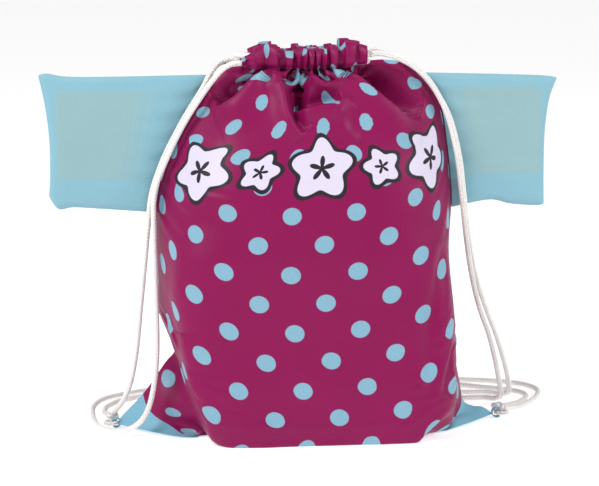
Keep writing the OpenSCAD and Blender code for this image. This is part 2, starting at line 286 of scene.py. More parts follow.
def cord_skin(line, radius, relief=BRAID_RELIEF):
    """Points, faces and braid places of a cord of the given radius along a line."""
    u, v = side_vectors(line)
    run = arc_lengths(line)
    angle = np.arange(CORD_SIDES) / CORD_SIDES * 2 * math.pi
    a, s = angle[None, :], run[:, None] * 2 * math.pi / BRAID_PITCH
    lumps = np.maximum(np.sin(s + BRAID_STRANDS * a), np.sin(s - BRAID_STRANDS * a))
    r = radius * (1 + relief * (lumps - 0.55))[:, :, None]
    points = line[:, None, :] + r * (np.cos(a)[..., None] * u[:, None] + np.sin(a)[..., None] * v[:, None])
    cut = np.stack([np.repeat(run[:, None], CORD_SIDES, 1), np.zeros(lumps.shape),
                    np.repeat(a / (2 * math.pi), len(line), 0)], axis=2)
    return points.reshape(-1, 3), tube_faces(len(line), CORD_SIDES), cut.reshape(-1, 3)


def cord_line(route):
    """The smooth line through a route, in metres, with a point every CORD_STEP."""
    rough = smooth_line(np.array(route) / 1000, 400)
    return smooth_line(np.array(route) / 1000, int(arc_lengths(rough)[-1] / CORD_STEP))


cord_routes = {"left_cord_front": LEFT_FRONT, "left_cord_back": LEFT_BACK,
               "right_cord_front": RIGHT_FRONT, "right_cord_back": RIGHT_BACK}
cord_runs = {}
for name, route in cord_routes.items():
    line = cord_line(route)
    points, faces, cut = cord_skin(line, CORD_D / 2)
    strand = piece_from(name, points, faces, cut, [cord_cloth])
    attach(strand, "bag")
    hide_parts(name + "_strand")
    cord_runs[name] = (strand, line)

# The same cords inside the hems keep their CAD shape
for name in ("left_cord_in_hem", "right_cord_in_hem"):
    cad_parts[name].data.materials.clear()
    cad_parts[name].data.materials.append(cord_cloth)

# ---- Knots and corner loops
# Each cord's two ends are tied together in a small tight knot behind the bottom corner, and their bight
# goes through a loop of narrow tape that is sewn into the corner.
CORNER_X = {"left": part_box("left_corner_loop")[1][0], "right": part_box("right_corner_loop")[0][0]}
LOOP_R, TAPE_THICK, TAPE_HALF = 0.0046, 0.0009, 0.0025
LOOP_STEPS = 48
RIB_PITCH = 0.0008
KNOT_STEPS, KNOT_R, KNOT_CORD_R = 90, 0.00145, 0.0021
BIGHT_R, BIGHT_CORD_R = 0.005, 0.002
tape_cloth, tree, shader = new_material("ribbed_tape", Sheen_Weight=0.2, Sheen_Roughness=0.4)
place = cut_place(tree)
ribs = maths(tree, "SINE", maths(tree, "MULTIPLY", split(tree, place)[0], 2 * math.pi / RIB_PITCH))
dye = placed(tree, uneven_dye, Place=place, Patch_Size=0.006)
finish_surface(tree, shader, mixed(tree, dye["Shade"], linear(110, 160, 184), linear(150, 196, 216)),
               roughness=(dye["Gloss"], 0.3, 0.4), bump=(ribs, 0.5, 0.0002))

for side, sign in (("left", -1), ("right", 1)):
    corner = CORNER_X[side]
    middle = np.array([corner + sign * 0.008, 0.0116, 0.0066])
    t = np.linspace(0, 2 * math.pi, KNOT_STEPS)
    # a trefoil, which is a tied overhand knot drawn tight
    wraps = np.stack([np.sin(t) + 2 * np.sin(2 * t), 0.9 * (np.cos(t) - 2 * np.cos(2 * t)),
                      -1.5 * np.sin(3 * t)], axis=1) * KNOT_R
    knot_points, knot_faces, knot_cut = cord_skin(middle + wraps[:, [0, 2, 1]], KNOT_CORD_R)
    ring_x = corner + sign * (LOOP_R + BIGHT_R)
    bight = np.stack([ring_x + BIGHT_R * np.cos(t), BIGHT_R * np.sin(t), np.full_like(t, LOOP_R)], axis=1)
    ring_points, ring_faces, ring_cut = cord_skin(bight, BIGHT_CORD_R)
    shift = len(knot_points)
    knot = piece_from(f"{side}_knot", np.concatenate([knot_points, ring_points]),
                      knot_faces + [tuple(v + shift for v in f) for f in ring_faces],
                      np.concatenate([knot_cut, ring_cut]), [cord_cloth])
    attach(knot, "bag")
    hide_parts(f"{side}_cord_knot")
    around = np.linspace(0, 2 * math.pi, LOOP_STEPS + 1)[:-1]
    profile = ([(LOOP_R, y) for y in (-TAPE_HALF, -0.0015, 0, 0.0015, TAPE_HALF)]
               + [(LOOP_R - TAPE_THICK, y) for y in (TAPE_HALF, 0, -TAPE_HALF)])
    points = [(corner + sign * LOOP_R + r * math.cos(a), y, LOOP_R + r * math.sin(a))
              for a in around for r, y in profile]
    loop = piece_from(f"{side}_tape_loop", points, tube_faces(LOOP_STEPS, len(profile), joined=True),
                      [(LOOP_R * a, 0, y) for a in around for _, y in profile], [tape_cloth])
    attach(loop, "bag")
    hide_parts(f"{side}_corner_loop")

for name, (strand, line) in cord_runs.items():
    side = name.split("_")[0]

# ---- Bag cloth
# Printed polyester: magenta with light blue dots, a row of flowers across the chest, and blue bottom
# corners. Its print is laid out on the flat cut, x from the middle and z down from the hem.
BAG_W, BAG_H = 0.366, 0.420
DOT_PITCH, DOT_R, DOT_TURN = 0.052, 0.0076, math.radians(1.5)
DOT_SHIFT = (-0.001, 0.004)
CORNER_UP, CORNER_IN = 0.041, 0.088
THREAD = 0.0006
PRINT_BLUR, CORNER_BLUR = 0.0004, 0.006
# The row of flowers: how it bows, how much smaller every second one is, its petals and their depth,
# each one's turn from the last, and the size of its heart
FLOWER_PITCH, FLOWER_Z, FLOWER_R, FLOWER_RIM = 0.053, -0.093, 0.0235, 0.0042
FLOWER_BOW, SMALLER, PETALS, PETAL_DEPTH, FLOWER_TURN, HEART = -1.2, 0.40, 5.0, 0.19, 1.3, -0.70
LAST_FLOWER = 2.5

group, given, result = new_group(
    "plain_weave", [("Place", "NodeSocketVector"), ("Thread", "NodeSocketFloat")],
    [("Height", "NodeSocketFloat"), ("Shade", "NodeSocketFloat")])
axes = split(group, given["Place"])
step = maths(group, "DIVIDE", math.pi, given["Thread"])
warp = maths(group, "SINE", maths(group, "MULTIPLY", axes[0], step))
weft = maths(group, "SINE", maths(group, "MULTIPLY", axes[2], step))
over = maths(group, "MULTIPLY", warp, weft)
speck = add_node(group, "ShaderNodeTexNoise", Vector=given["Place"], Scale=900.0, Detail=0.0)
group.links.new(over, result["Height"])
group.links.new(maths(group, "MULTIPLY_ADD", over, 0.10,
                      maths(group, "MULTIPLY_ADD", speck.outputs[0], 0.5, 0.25)), result["Shade"])
plain_weave = group

bag_cloth, tree, shader = new_material("printed_polyester", Sheen_Weight=0.03, Sheen_Roughness=0.4,
                                       Specular_IOR_Level=0.22)
place = cut_place(tree)
across, face, up = split(tree, place)
turned = add_node(tree, "ShaderNodeVectorRotate", {"rotation_type": "Y_AXIS"}, Vector=place,
                  Angle=DOT_TURN)
turned = split(tree, turned.outputs[0])


def length_of(first, second):
    """The length of the line from the origin to a place on the cloth."""
    return maths(tree, "SQRT", maths(tree, "ADD", maths(tree, "POWER", first, 2.0),
                                     maths(tree, "POWER", second, 2.0)))


def dot_rows(shift):
    """The distance to the nearest dot of a square grid."""
    parts = []
    for k, axis in enumerate((0, 2)):
        cell = maths(tree, "FRACT", maths(tree, "ADD", maths(
            tree, "DIVIDE", turned[axis], DOT_PITCH), 20.5 + shift + DOT_SHIFT[k] / DOT_PITCH))
        parts.append(maths(tree, "MULTIPLY", maths(tree, "SUBTRACT", cell, 0.5), DOT_PITCH))
    return length_of(*parts)


def edge_mask(distance, limit, softness=PRINT_BLUR):
    """1 where distance is below limit, with a soft printed edge."""
    made = add_node(tree, "ShaderNodeMapRange", {"interpolation_type": "SMOOTHSTEP"}, Value=distance)
    made.inputs[1].default_value = limit + softness
    made.inputs[2].default_value = limit - softness
    return made.outputs[0]


# every second row of dots is half a step aside, so two square grids make them
dots = edge_mask(maths(tree, "MINIMUM", dot_rows(0.0), dot_rows(0.5)), DOT_R)
# flowers of two sizes by turns, in a row that bows up a little in the middle
middle_z = maths(tree, "MULTIPLY_ADD", maths(tree, "POWER", maths(tree, "ABSOLUTE", across), 2.0),
                 FLOWER_BOW, FLOWER_Z)
flower_z = maths(tree, "SUBTRACT", up, middle_z)


def flower(number):
    """How far outside the flower of that number each place is, and that distance over its size."""
    x = maths(tree, "SUBTRACT", across, maths(tree, "MULTIPLY", number, FLOWER_PITCH))
    petals = maths(tree, "COSINE", maths(tree, "MULTIPLY_ADD", maths(
        tree, "ARCTAN2", x, flower_z), PETALS, maths(tree, "MULTIPLY", number, FLOWER_TURN)))
    size = maths(tree, "MULTIPLY_ADD", maths(tree, "PINGPONG", number, 1.0), -SMALLER * FLOWER_R, FLOWER_R)
    edge = maths(tree, "MULTIPLY", size, maths(tree, "MULTIPLY_ADD", petals, PETAL_DEPTH, 1.0))
    reach = maths(tree, "SUBTRACT", length_of(x, flower_z), edge)
    missing = maths(tree, "GREATER_THAN", maths(tree, "ABSOLUTE", number), LAST_FLOWER)
    return maths(tree, "ADD", reach, missing), maths(tree, "DIVIDE", reach, size)


before = maths(tree, "FLOOR", maths(tree, "DIVIDE", across, FLOWER_PITCH))
first, second = flower(before), flower(maths(tree, "ADD", before, 1.0))
reach = maths(tree, "MINIMUM", first[0], second[0])
on_chest = maths(tree, "LESS_THAN", face, 0.5)
outline = maths(tree, "MULTIPLY", edge_mask(reach, FLOWER_RIM), on_chest)
petal = maths(tree, "MULTIPLY", edge_mask(reach, 0.0), on_chest)
heart = maths(tree, "MULTIPLY", maths(
    tree, "LESS_THAN", maths(tree, "MINIMUM", first[1], second[1]), HEART), petal)
corner_reach = maths(tree, "ADD",
                     maths(tree, "DIVIDE", maths(tree, "SUBTRACT", BAG_W / 2, maths(
                         tree, "ABSOLUTE", across)), CORNER_IN),
                     maths(tree, "DIVIDE", maths(tree, "ADD", up, BAG_H), CORNER_UP))
corner_blue = edge_mask(corner_reach, 1.0, CORNER_BLUR)

weave = placed(tree, plain_weave, Place=place, Thread=THREAD)
dye = placed(tree, uneven_dye, Place=place, Patch_Size=0.07)
magenta = mixed(tree, dye["Shade"], linear(121, 2, 67), linear(141, 6, 84))
dot_blue = mixed(tree, dye["Shade"], linear(118, 162, 184), linear(136, 178, 198))
corner_colour = mixed(tree, dye["Shade"], linear(112, 168, 192), linear(130, 184, 204))
printed = mixed(tree, dots, magenta, dot_blue)
ink = linear(42, 34, 44)
printed = mixed(tree, outline, printed, ink)
printed = mixed(tree, petal, printed, linear(212, 204, 224))
printed = mixed(tree, heart, printed, ink)
printed = mixed(tree, corner_blue, printed, corner_colour)
shaded = add_node(tree, "ShaderNodeMix", {"data_type": "RGBA", "blend_type": "SOFT_LIGHT"}, n0=0.35,
                  n6=printed, n7=weave["Shade"])
finish_surface(tree, shader, shaded.outputs[2], roughness=(dye["Gloss"], 0.16, 0.36),
               bump=(weave["Height"], 0.12, 0.0002))

# ---- Bag panels
# Two panels sewn together at the sides and along the bottom, gathered by the hem and filled with
# paper. They are sewn up and filled here by a cloth simulation of both panels as one closed cloth,
# ten times life size.
ACROSS, DOWN = 70, 84
SIM_SCALE = 10.0
SIM_FRAMES = 40
LINE_STEPS = 400
# Down the middle of the front, and down the two side seams
CENTRE = [(0, -.0145, .331), (0, -.026, .322), (0, -.040, .300), (0, -.053, .265), (0, -.066, .215),
          (0, -.075, .165), (0, -.079, .110), (0, -.080, .055), (0, -.079, .020), (0, -.074, .003),
          (0, -.060, .000), (0, -.030, .000), (0, 0, .001)]
LEFT_SEAM = [(-.056, 0, .334), (-.070, .001, .331), (-.087, .003, .320), (-.099, .004, .300),
             (-.107, .004, .284), (-.125, .004, .245), (-.132, .004, .214), (-.134, .004, .200),
             (-.134, .002, .175), (-.134, .001, .150), (-.133, .0, .112), (-.120, 0, .082),
             (-.118, 0, .071), (-.127, 0, .060), (-.146, 0, .033), (-.166, 0, .012), (-.172, 0, .003)]
RIGHT_SEAM = [(.058, 0, .337), (.078, .001, .338), (.100, .003, .333), (.120, .004, .318),
              (.129, .004, .295), (.134, .004, .268), (.138, .004, .235), (.140, .004, .206),
              (.137, .003, .180), (.137, 0, .150), (.140, 0, .110), (.143, 0, .070), (.149, 0, .035),
              (.153, 0, .017), (.162, 0, .0115), (.172, 0, .0100), (.181, 0, .003)]
BODY_LEFT, BODY_RIGHT = 0.118, 0.126
# The bottom seam's length in each corner, and how far aside and forward it stands where it leaves it
EAR_SEAM = 0.075
LEFT_FORWARD, RIGHT_FORWARD = (-.0125, -.052), (.0135, -.056)
# Stuffing: height, reach to the left and right, depth in front and behind
STUFFING = np.array([(.310, .060, .078, .020), (.295, .074, .092, .030), (.270, .091, .110, .044),
                     (.240, .106, .121, .056), (.210, .115, .127, .063), (.170, .121, .129, .069),
                     (.130, .122, .133, .071), (.085, .114, .136, .075), (.052, .106, .135, .079),
                     (.015, .092, .134, .082), (.001, .086, .132, .081)])
STUFFING_BOTTOM, STUFFING_TOP, STUFFING_RINGS, STUFFING_SIDES = 0.0015, 0.300, 44, 96
# How square its corners are at each height
STUFFING_SQUARE = ([0, 0.1, 0.2], [9.0, 6.0, 3.2])
HEM_START, HEM_LENGTH = -0.056, 0.114
HEM_DEPTH, PLEAT_DEPTH, PLEATS = 0.0150, 0.0062, 11


def hem_curve(count):
    """The gathered hem from above: x, depth in front of the middle, and the phase of its pleats."""
    t = np.linspace(0, 1, 4001)
    crowding = (1 + 1.1 * np.exp(-((t - 0.55) / 0.13) ** 2) - 0.45 * np.exp(-((t - 0.18) / 0.12) ** 2)
                - 0.40 * np.exp(-((t - 0.88) / 0.1) ** 2))
    phase = np.cumsum(crowding)
    phase = (phase - phase[0]) / (phase[-1] - phase[0]) * 2 * math.pi * PLEATS + 0.6
    x = HEM_START + HEM_LENGTH * t
    depth = (HEM_DEPTH + PLEAT_DEPTH * np.cos(phase)) * np.clip(np.minimum(t, 1 - t) / 0.06, 0, 1)
    run = np.concatenate([[0], np.cumsum(np.hypot(np.diff(x), np.diff(depth)))])
    at = np.linspace(0, run[-1], count)
    return np.interp(at, run, x), np.interp(at, run, depth), np.interp(at, run, phase)


hem_x, hem_depth, hem_phase = hem_curve(ACROSS + 1)
down_share = np.linspace(0, 1, DOWN + 1)
centre_line, left_line, right_line = (resampled(smooth_line(points, LINE_STEPS), down_share)
                                      for points in (CENTRE, LEFT_SEAM, RIGHT_SEAM))


def row_base(j):
    """One row of the filled bag's front, from seam to seam, without its pleats."""
    a = np.linspace(math.pi, 0, 721)
    on_left = np.cos(a) < 0
    seam = np.where(on_left[:, None], left_line[j], right_line[j])
    body = np.where(on_left, BODY_LEFT, BODY_RIGHT)
    ear = np.clip(np.abs(seam[:, 0]) - body, 0, None) * np.clip((0.10 - seam[:, 2]) / 0.06, 0, 1)
    c, s = np.abs(np.cos(a)), np.abs(np.sin(a))
    x = np.sign(seam[:, 0]) * ((np.abs(seam[:, 0]) - ear) * c ** 0.77 + ear * c ** 14)
    y = seam[:, 1] * (1 - s ** 0.77) + centre_line[j, 1] * s ** 0.77
    z = seam[:, 2] * (1 - s ** 0.7) + centre_line[j, 2] * s ** 0.7
    return resampled(np.stack([x, y, z], axis=1), np.linspace(0, 1, ACROSS + 1))


def pleated(base):
    """The row with pleats deep enough to take up the cloth's full width."""
    ahead = np.gradient(base, axis=0)
    out = np.stack([ahead[:, 1], -ahead[:, 0], 0 * ahead[:, 0]], axis=1)
    out /= np.linalg.norm(out, axis=1)[:, None] + 1e-12
    t = np.linspace(0, 1, ACROSS + 1)
    wave = (np.cos(hem_phase) * np.clip(np.minimum(t, 1 - t) / 0.04, 0, 1))[:, None] * out
    low, high = 0.0, 0.03
    for _ in range(30):
        depth = (low + high) / 2
        short = arc_lengths(base + depth * wave)[-1] < 0.995 * BAG_W
        low, high = (depth, high) if short else (low, depth)
    return base + low * wave


rows = []
for j in range(DOWN + 1):
    row = pleated(row_base(j))
    at_hem = np.clip(1 - down_share[j] * BAG_H / 0.012, 0, 1)
    hem_row = np.stack([hem_x, -hem_depth, row_base(j)[:, 2]], axis=1)
    rows.append(row * (1 - at_hem) + hem_row * at_hem)
front_start = np.array(rows)
back_start = front_start * [1, -1, 1]
# The bottom seam comes forward as it leaves each corner, so that the corner lies open to the front
from_left = np.linspace(0, BAG_W, ACROSS + 1)
low = np.clip((down_share * BAG_H - BAG_H + 0.05) / 0.05, 0, 1)[:, None] ** 2
for corner, (aside, ahead) in ((from_left, LEFT_FORWARD), (from_left[::-1], RIGHT_FORWARD)):
    share = np.interp(corner, [0, EAR_SEAM, 2.2 * EAR_SEAM], [0, 1, 0])
    for begun in (front_start, back_start):
        begun[..., 0] += aside * share * low
        begun[..., 1] += ahead * share * low

# Both panels as one mesh that share the vertices of their seams
grid = np.arange((DOWN + 1) * (ACROSS + 1)).reshape(DOWN + 1, ACROSS + 1)
back_grid = np.full_like(grid, -1)
back_grid[:, 0], back_grid[:, -1], back_grid[-1] = grid[:, 0], grid[:, -1], grid[-1]
own = back_grid < 0
back_grid[own] = grid.size + np.arange(own.sum())
flat_x, flat_z = np.meshgrid(np.linspace(-BAG_W / 2, BAG_W / 2, ACROSS + 1),
                             np.linspace(0, -BAG_H, DOWN + 1))
flat = np.stack([flat_x, 0 * flat_x, flat_z], axis=2)
start = np.concatenate([front_start.reshape(-1, 3), back_start[own]])
cut_flat = np.concatenate([flat.reshape(-1, 3), flat[own]])


def quads(g, flipped):
    corners = [g[:-1, :-1], g[1:, :-1], g[1:, 1:], g[:-1, 1:]]
    return np.stack([c.ravel() for c in (reversed(corners) if flipped else corners)], axis=1).tolist()


def stuffing_piece():
    """The paper filling as one firm block, rounder towards the top."""
    angle = np.linspace(0, 2 * math.pi, STUFFING_SIDES + 1)[:-1]
    rings = []
    for z in np.linspace(STUFFING_BOTTOM, STUFFING_TOP, STUFFING_RINGS):
        left, right, depth = (np.interp(z, STUFFING[::-1, 0], STUFFING[::-1, k]) for k in (1, 2, 3))
        c, s = np.cos(angle), np.sin(angle)
        corner = 2 / np.interp(z, *STUFFING_SQUARE)
        rings.append(np.stack([np.where(c < 0, left, right) * np.sign(c) * np.abs(c) ** corner,
                               depth * np.sign(s) * np.abs(s) ** corner, 0 * c + z], axis=1))
    return piece_from("stuffing", np.concatenate(rings) * SIM_SCALE,
                      tube_faces(STUFFING_RINGS, STUFFING_SIDES))


def sewn_and_filled():
    """Steps the closed cloth over its stuffing and returns where its vertices come to rest."""
    cloth_piece = piece_from("sewn_bag", start * SIM_SCALE,
                             quads(grid, False) + quads(back_grid, True))
    cloth_piece.shape_key_add(name="Basis")
    cut_key = cloth_piece.shape_key_add(name="cut")
    cut_key.data.foreach_set("co", (cut_flat * SIM_SCALE).ravel())
    cut_key.value = 0
    held = cloth_piece.vertex_groups.new(name="held")
    ear = round(EAR_SEAM / BAG_W * ACROSS) + 1
    edges = np.concatenate([grid[0], back_grid[0], grid[:, 0], grid[:, -1],
                            grid[-1, :ear], grid[-1, -ear:]])
    held.add([int(v) for v in np.unique(edges)], 1.0, "REPLACE")
    stuffing = stuffing_piece()
    bpy.ops.mesh.primitive_plane_add(size=20, location=(0, 0, -0.012))
    ground = bpy.context.object
    for solid, grip in ((stuffing, 5), (ground, 20)):
        solid.modifiers.new("solid", "COLLISION")
        solid.collision.thickness_outer = 0.01
        solid.collision.cloth_friction = grip
    cloth = cloth_piece.modifiers.new("cloth", "CLOTH")
    settings = cloth.settings
    settings.quality = 6
    settings.mass = 0.3
    settings.tension_stiffness = settings.compression_stiffness = 25
    settings.shear_stiffness = 6
    settings.bending_stiffness = 0.5
    settings.vertex_group_mass = "held"
    settings.rest_shape_key = cut_key
    settings.use_pressure = True
    settings.uniform_pressure_force = 0.25
    cloth.collision_settings.collision_quality = 3
    cloth.collision_settings.distance_min = 0.012
    cloth.point_cache.frame_start, cloth.point_cache.frame_end = 1, SIM_FRAMES
    for step_number in range(1, SIM_FRAMES + 1):
        scene.frame_set(step_number)
    done = cloth_piece.evaluated_get(bpy.context.evaluated_depsgraph_get()).to_mesh()
    rest = np.zeros(len(done.vertices) * 3)
    done.vertices.foreach_get("co", rest)
    scene.frame_set(1)
    for used in (cloth_piece, stuffing, ground):
        bpy.data.objects.remove(used)
    return rest.reshape(-1, 3) / SIM_SCALE


bag_points = sewn_and_filled()
cut_flat[grid.size:, 1] = 1.0

# Drapes that hang from the hem, and then the folds at the lower corners, which only the front has:
# points along each in x and z, how deep it is (a ridge is negative), and its half width to the left and
# right of the way it runs
DRAPES = 14
FOLDS = [
    ([(-.024, .335), (-.031, .333), (-.044, .328), (-.053, .317), (-.063, .305), (-.072, .299),
      (-.083, .295)], -.0084, .016, .0034),
    ([(-.032, .338), (-.042, .333), (-.055, .3225), (-.067, .311), (-.080, .303)], .0189, .0050, .011),
    ([(-.016, .335), (-.022, .326), (-.019, .3105), (-.016, .296), (-.0124, .285), (-.006, .272)],
     -.0078, .0050, .010),
    ([(-.008, .333), (-.0115, .320), (-.012, .302), (-.008, .289), (-.001, .279)], .0105, .0070, .0040),
    ([(-.0015, .334), (-.002, .3265), (-.005, .309), (-.0075, .298)], .0175, .0050, .0040),
    ([(.0044, .334), (.0064, .329), (.009, .323), (.0177, .3168), (.032, .3157)], -.0074, .0034, .0040),
    ([(.007, .331), (.012, .326), (.019, .3225), (.031, .322)], .0068, .0050, .0034),
    ([(-.008, .302), (.0036, .3035), (.0173, .3060), (.031, .307)], .0111, .0085, .0040),
    ([(-.0095, .295), (.0034, .2975), (.0167, .2995), (.0285, .2998), (.036, .307)], -.0070, .0036, .011),
    ([(.017, .336), (.027, .3332), (.038, .3264), (.0496, .3181), (.0624, .3078), (.0746, .2982),
      (.0862, .2892), (.0955, .2845), (.107, .2835)], -.0092, .0034, .017),
    ([(.037, .339), (.045, .333), (.064, .319), (.083, .3045), (.097, .2935), (.106, .289)],
     .0203, .012, .0050),
    ([(.046, .334), (.058, .337), (.066, .3369), (.085, .3287), (.0954, .3222), (.1112, .307)],
     -.0026, .0045, .007),
    ([(-.0326, .334), (-.0431, .3335), (-.0546, .3325), (-.0708, .3239), (-.0825, .3147)],
     -.0036, .006, .0040),
    ([(.0285, .297), (.0349, .2778), (.0464, .2707)], -.0026, .005, .007),
    ([(-.120, .100), (-.116, .072), (-.107, .045), (-.096, .020), (-.087, .002)], -.0050, .012, .0034),
    ([(-.123, .080), (-.119, .060), (-.111, .038), (-.101, .014), (-.095, .002)], .0105, .0046, .014),
    ([(.126, .175), (.117, .136), (.109, .101), (.110, .040)], .0036, .0075, .0075),
    ([(.139, .100), (.134, .080), (.127, .060), (.120, .040)], .0050, .010, .0038)]
# Where the drapes and the side seams swallow cloth. TUCK is how wide each such place is. A seam takes in
# the second row's widths at the first row's heights; a drape has the points down it, and how much of the
# width is inside at its top
TUCK = 0.0022
HIDDEN_AT_SEAM = ([.10, .20, .28, .31], [0, .020, .030, 0])
SWALLOWED = [([(-.034, .336), (-.0424, .3323), (-.0546, .3200), (-.0674, .3080), (-.0782, .302)], .040),
             ([(-.0015, .334), (-.0017, .3265), (-.0051, .3092), (-.0075, .2981)], .042),
             ([(.0368, .3363), (.0430, .3324), (.0628, .3165), (.0825, .3026), (.0956, .2925)], .044)]


def evened(cloth):
    """The cloth with the fine pleats of its upper rows drawn out, so that broad drapes are left."""
    reach = 10
    longer = np.concatenate([2 * cloth[:, :1] - cloth[:, reach:0:-1], cloth,
                             2 * cloth[:, -1:] - cloth[:, -2:-reach - 2:-1]], axis=1)
    offsets = np.arange(-reach, reach + 1)
    rows = []
    for j in range(len(cloth)):
        width = np.interp(j, [0, 1, 4, 30, 45], [0.01, 0.8, 3.4, 3.2, 0.8])
        weights = np.exp(-0.5 * (offsets / width) ** 2)
        rows.append(sum(w * longer[j, reach + k:reach + k + cloth.shape[1]]
                        for k, w in zip(offsets, weights / weights.sum())))
    cloth = np.array(rows)
    # and the crumpled cloth where the lower corners meet the bag pulled flat
    column = np.abs(np.arange(cloth.shape[1]) - ACROSS / 2)
    flatten = (np.interp(column, [ACROSS / 2 - 20, ACROSS / 2 - 14], [0, 0.6])[None, :]
               * np.interp(np.arange(len(cloth)), [DOWN - 20, DOWN - 12], [0, 1])[:, None])[..., None]
    for _ in range(8):
        pull = np.zeros_like(cloth)
        pull[1:-1, 1:-1] = (cloth[2:, 1:-1] + cloth[:-2, 1:-1] + cloth[1:-1, 2:]
                            + cloth[1:-1, :-2]) / 4 - cloth[1:-1, 1:-1]
        pull[-1, 1:-1] = (cloth[-1, 2:] + cloth[-1, :-2]) / 2 - cloth[-1, 1:-1]
        cloth = cloth + flatten * pull
    return cloth


def tucked(cloth, mirror):
    """Moves cloth along its rows into the drapes, so that what shows between them is not squeezed."""
    share = np.linspace(0, 1, cloth.shape[1])
    near, steps = 0.004, 40
    lines = [smooth_line([(mirror * x, z, 0) for x, z in points], steps)[:, :2] for points, _ in SWALLOWED]
    for j in range(1, len(cloth)):
        run = arc_lengths(cloth[j])
        middle = (run[1:] + run[:-1]) / 2
        places = []
        for line, (_, amount) in zip(lines, SWALLOWED):
            to = np.linalg.norm(cloth[j][:, None, [0, 2]] - line, axis=2)
            column, step = np.unravel_index(to.argmin(), to.shape)
            if to.min() < near:
                width = amount * (1 - step / (steps - 1)) ** 0.8 * min(max(j - 3, 0) / 14, 1)
                places.append((run[column], width))
        places += [(end, np.interp(cloth[j, 0, 2], *HIDDEN_AT_SEAM)) for end in (near, run[-1] - near)]
        inside = np.zeros(len(middle))
        for at, width in places:
            inside += width / (TUCK * math.sqrt(math.pi)) * np.exp(-((middle - at) / TUCK) ** 2)
        density = (BAG_W - (inside * np.diff(run)).sum()) / run[-1] + inside
        taken = np.concatenate([[0], np.cumsum(density * np.diff(run))])
        at = np.interp(share, taken / taken[-1], run)
        cloth[j] = np.stack([np.interp(at, run, cloth[j][:, k]) for k in range(3)], axis=1)
    return cloth


def refined(cloth):
    """The same cloth with twice the rows and columns, on smooth curves through its points."""
    for _ in range(2):
        before = np.concatenate([2 * cloth[:1] - cloth[1:2], cloth[:-1]])[:-1]
        after = np.concatenate([cloth[1:], 2 * cloth[-1:] - cloth[-2:-1]])[1:]
        between = (9 * (cloth[:-1] + cloth[1:]) - before - after) / 16
        longer = np.empty((2 * len(cloth) - 1,) + cloth.shape[1:])
        longer[0::2], longer[1::2] = cloth, between
        cloth = longer.swapaxes(0, 1)
    return cloth


def outward_of(cloth, toward):
    """The cloth's direction outwards at each point; toward is -1 for the front and 1 for the back."""
    out = np.cross(np.gradient(cloth, axis=0), np.gradient(cloth, axis=1))
    out /= np.linalg.norm(out, axis=2)[..., None] + 1e-12
    return out * np.sign((out[..., 1] * toward).sum())


def folded(cloth, toward, folds, mirror=1):
    """Presses the folds into the cloth along its outward direction, fading at their ends and the seams."""
    out = outward_of(cloth, toward)
    push = np.zeros(cloth.shape[:2])
    steps = 60
    for points, depth, left_half, right_half in folds:
        line = smooth_line([(x, z, 0) for x, z in points], steps)[:, :2]
        offset = cloth[..., None, [0, 2]] * [mirror, 1] - line
        to = np.linalg.norm(offset, axis=3)
        step = to.argmin(axis=2)
        ahead = np.gradient(line, axis=0)[step]
        from_line = np.take_along_axis(offset, step[..., None, None], axis=2)[..., 0, :]
        on_left = ahead[..., 0] * from_line[..., 1] - ahead[..., 1] * from_line[..., 0] > 0
        half = np.where(on_left, left_half, right_half)
        ends = np.clip(step / 8, 0, 1) * np.clip((steps - 1 - step) / 16, 0, 1)
        push -= depth * np.exp(-(to.min(axis=2) / half) ** 2) * np.sqrt(ends)
    share = np.linspace(0, 1, cloth.shape[1])
    seam = np.clip(np.minimum(share, 1 - share) / 0.03, 0, 1)
    top = np.clip(np.linspace(0, 1, len(cloth)) / 0.012, 0, 1)[:, None]
    facing = np.clip(np.abs(out[..., 1]) * 1.6, 0, 1)
    return cloth + (push * seam * top * facing)[..., None] * out


def panel(name, g, toward, replaced):
    """One finished panel from the simulated cloth, four times as fine and with its folds."""
    mirror, folds = (1, FOLDS) if toward < 0 else (-1, FOLDS[:DRAPES])
    smooth = refined(refined(evened(bag_points[g])))
    cloth = folded(tucked(smooth, mirror), toward, folds, mirror)
    cloth[..., 2] = np.maximum(cloth[..., 2], 0)
    flat_grid = refined(refined(cut_flat[g] * [1, 0, 1]))
    flat_grid[..., 1] = toward > 0
    fine = np.arange(flat_grid[..., 0].size).reshape(flat_grid.shape[:2])
    piece = piece_from(name, cloth.reshape(-1, 3), quads(fine, toward > 0), flat_grid.reshape(-1, 3),
                       [bag_cloth])
    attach(piece, "bag")
    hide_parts(replaced)
    return piece


front = panel("front_of_bag", grid, -1, "front_panel")
back = panel("back_of_bag", back_grid, 1, "back_panel")

# ---- Gathered hem
# The top of each panel is turned down twice into a tunnel for the cords and sewn along its lower edge.
# The cords bunch it into small pleats in the middle and broader ones at the ends.
HEM_COLUMNS = 420
STITCHES, STITCH_R = 110, 0.0003
# The height of its top edge along x
HEM_TOP = [(-.060, .3400), (-.053, .3440), (-.046, .3485), (-.038, .3540), (-.028, .3550), (-.020, .3495),
           (-.0095, .3490), (-.005, .3530), (.002, .3500), (.010, .3515), (.018, .3500), (.026, .3530),
           (.033, .3515), (.036, .3570), (.044, .3570), (.052, .3545), (.060, .3490)]
thread_cloth, tree, shader = new_material("sewing_thread", Sheen_Weight=0.2)
place = cut_place(tree)
dye = placed(tree, uneven_dye, Place=place, Patch_Size=0.004)
finish_surface(tree, shader, mixed(tree, dye["Shade"], linear(120, 22, 74), linear(170, 50, 112)),
               roughness=(dye["Gloss"], 0.2, 0.45))


def finer(piece):
    smoothing = piece.modifiers.new("finer", "SUBSURF")
    smoothing.levels = smoothing.render_levels = 1


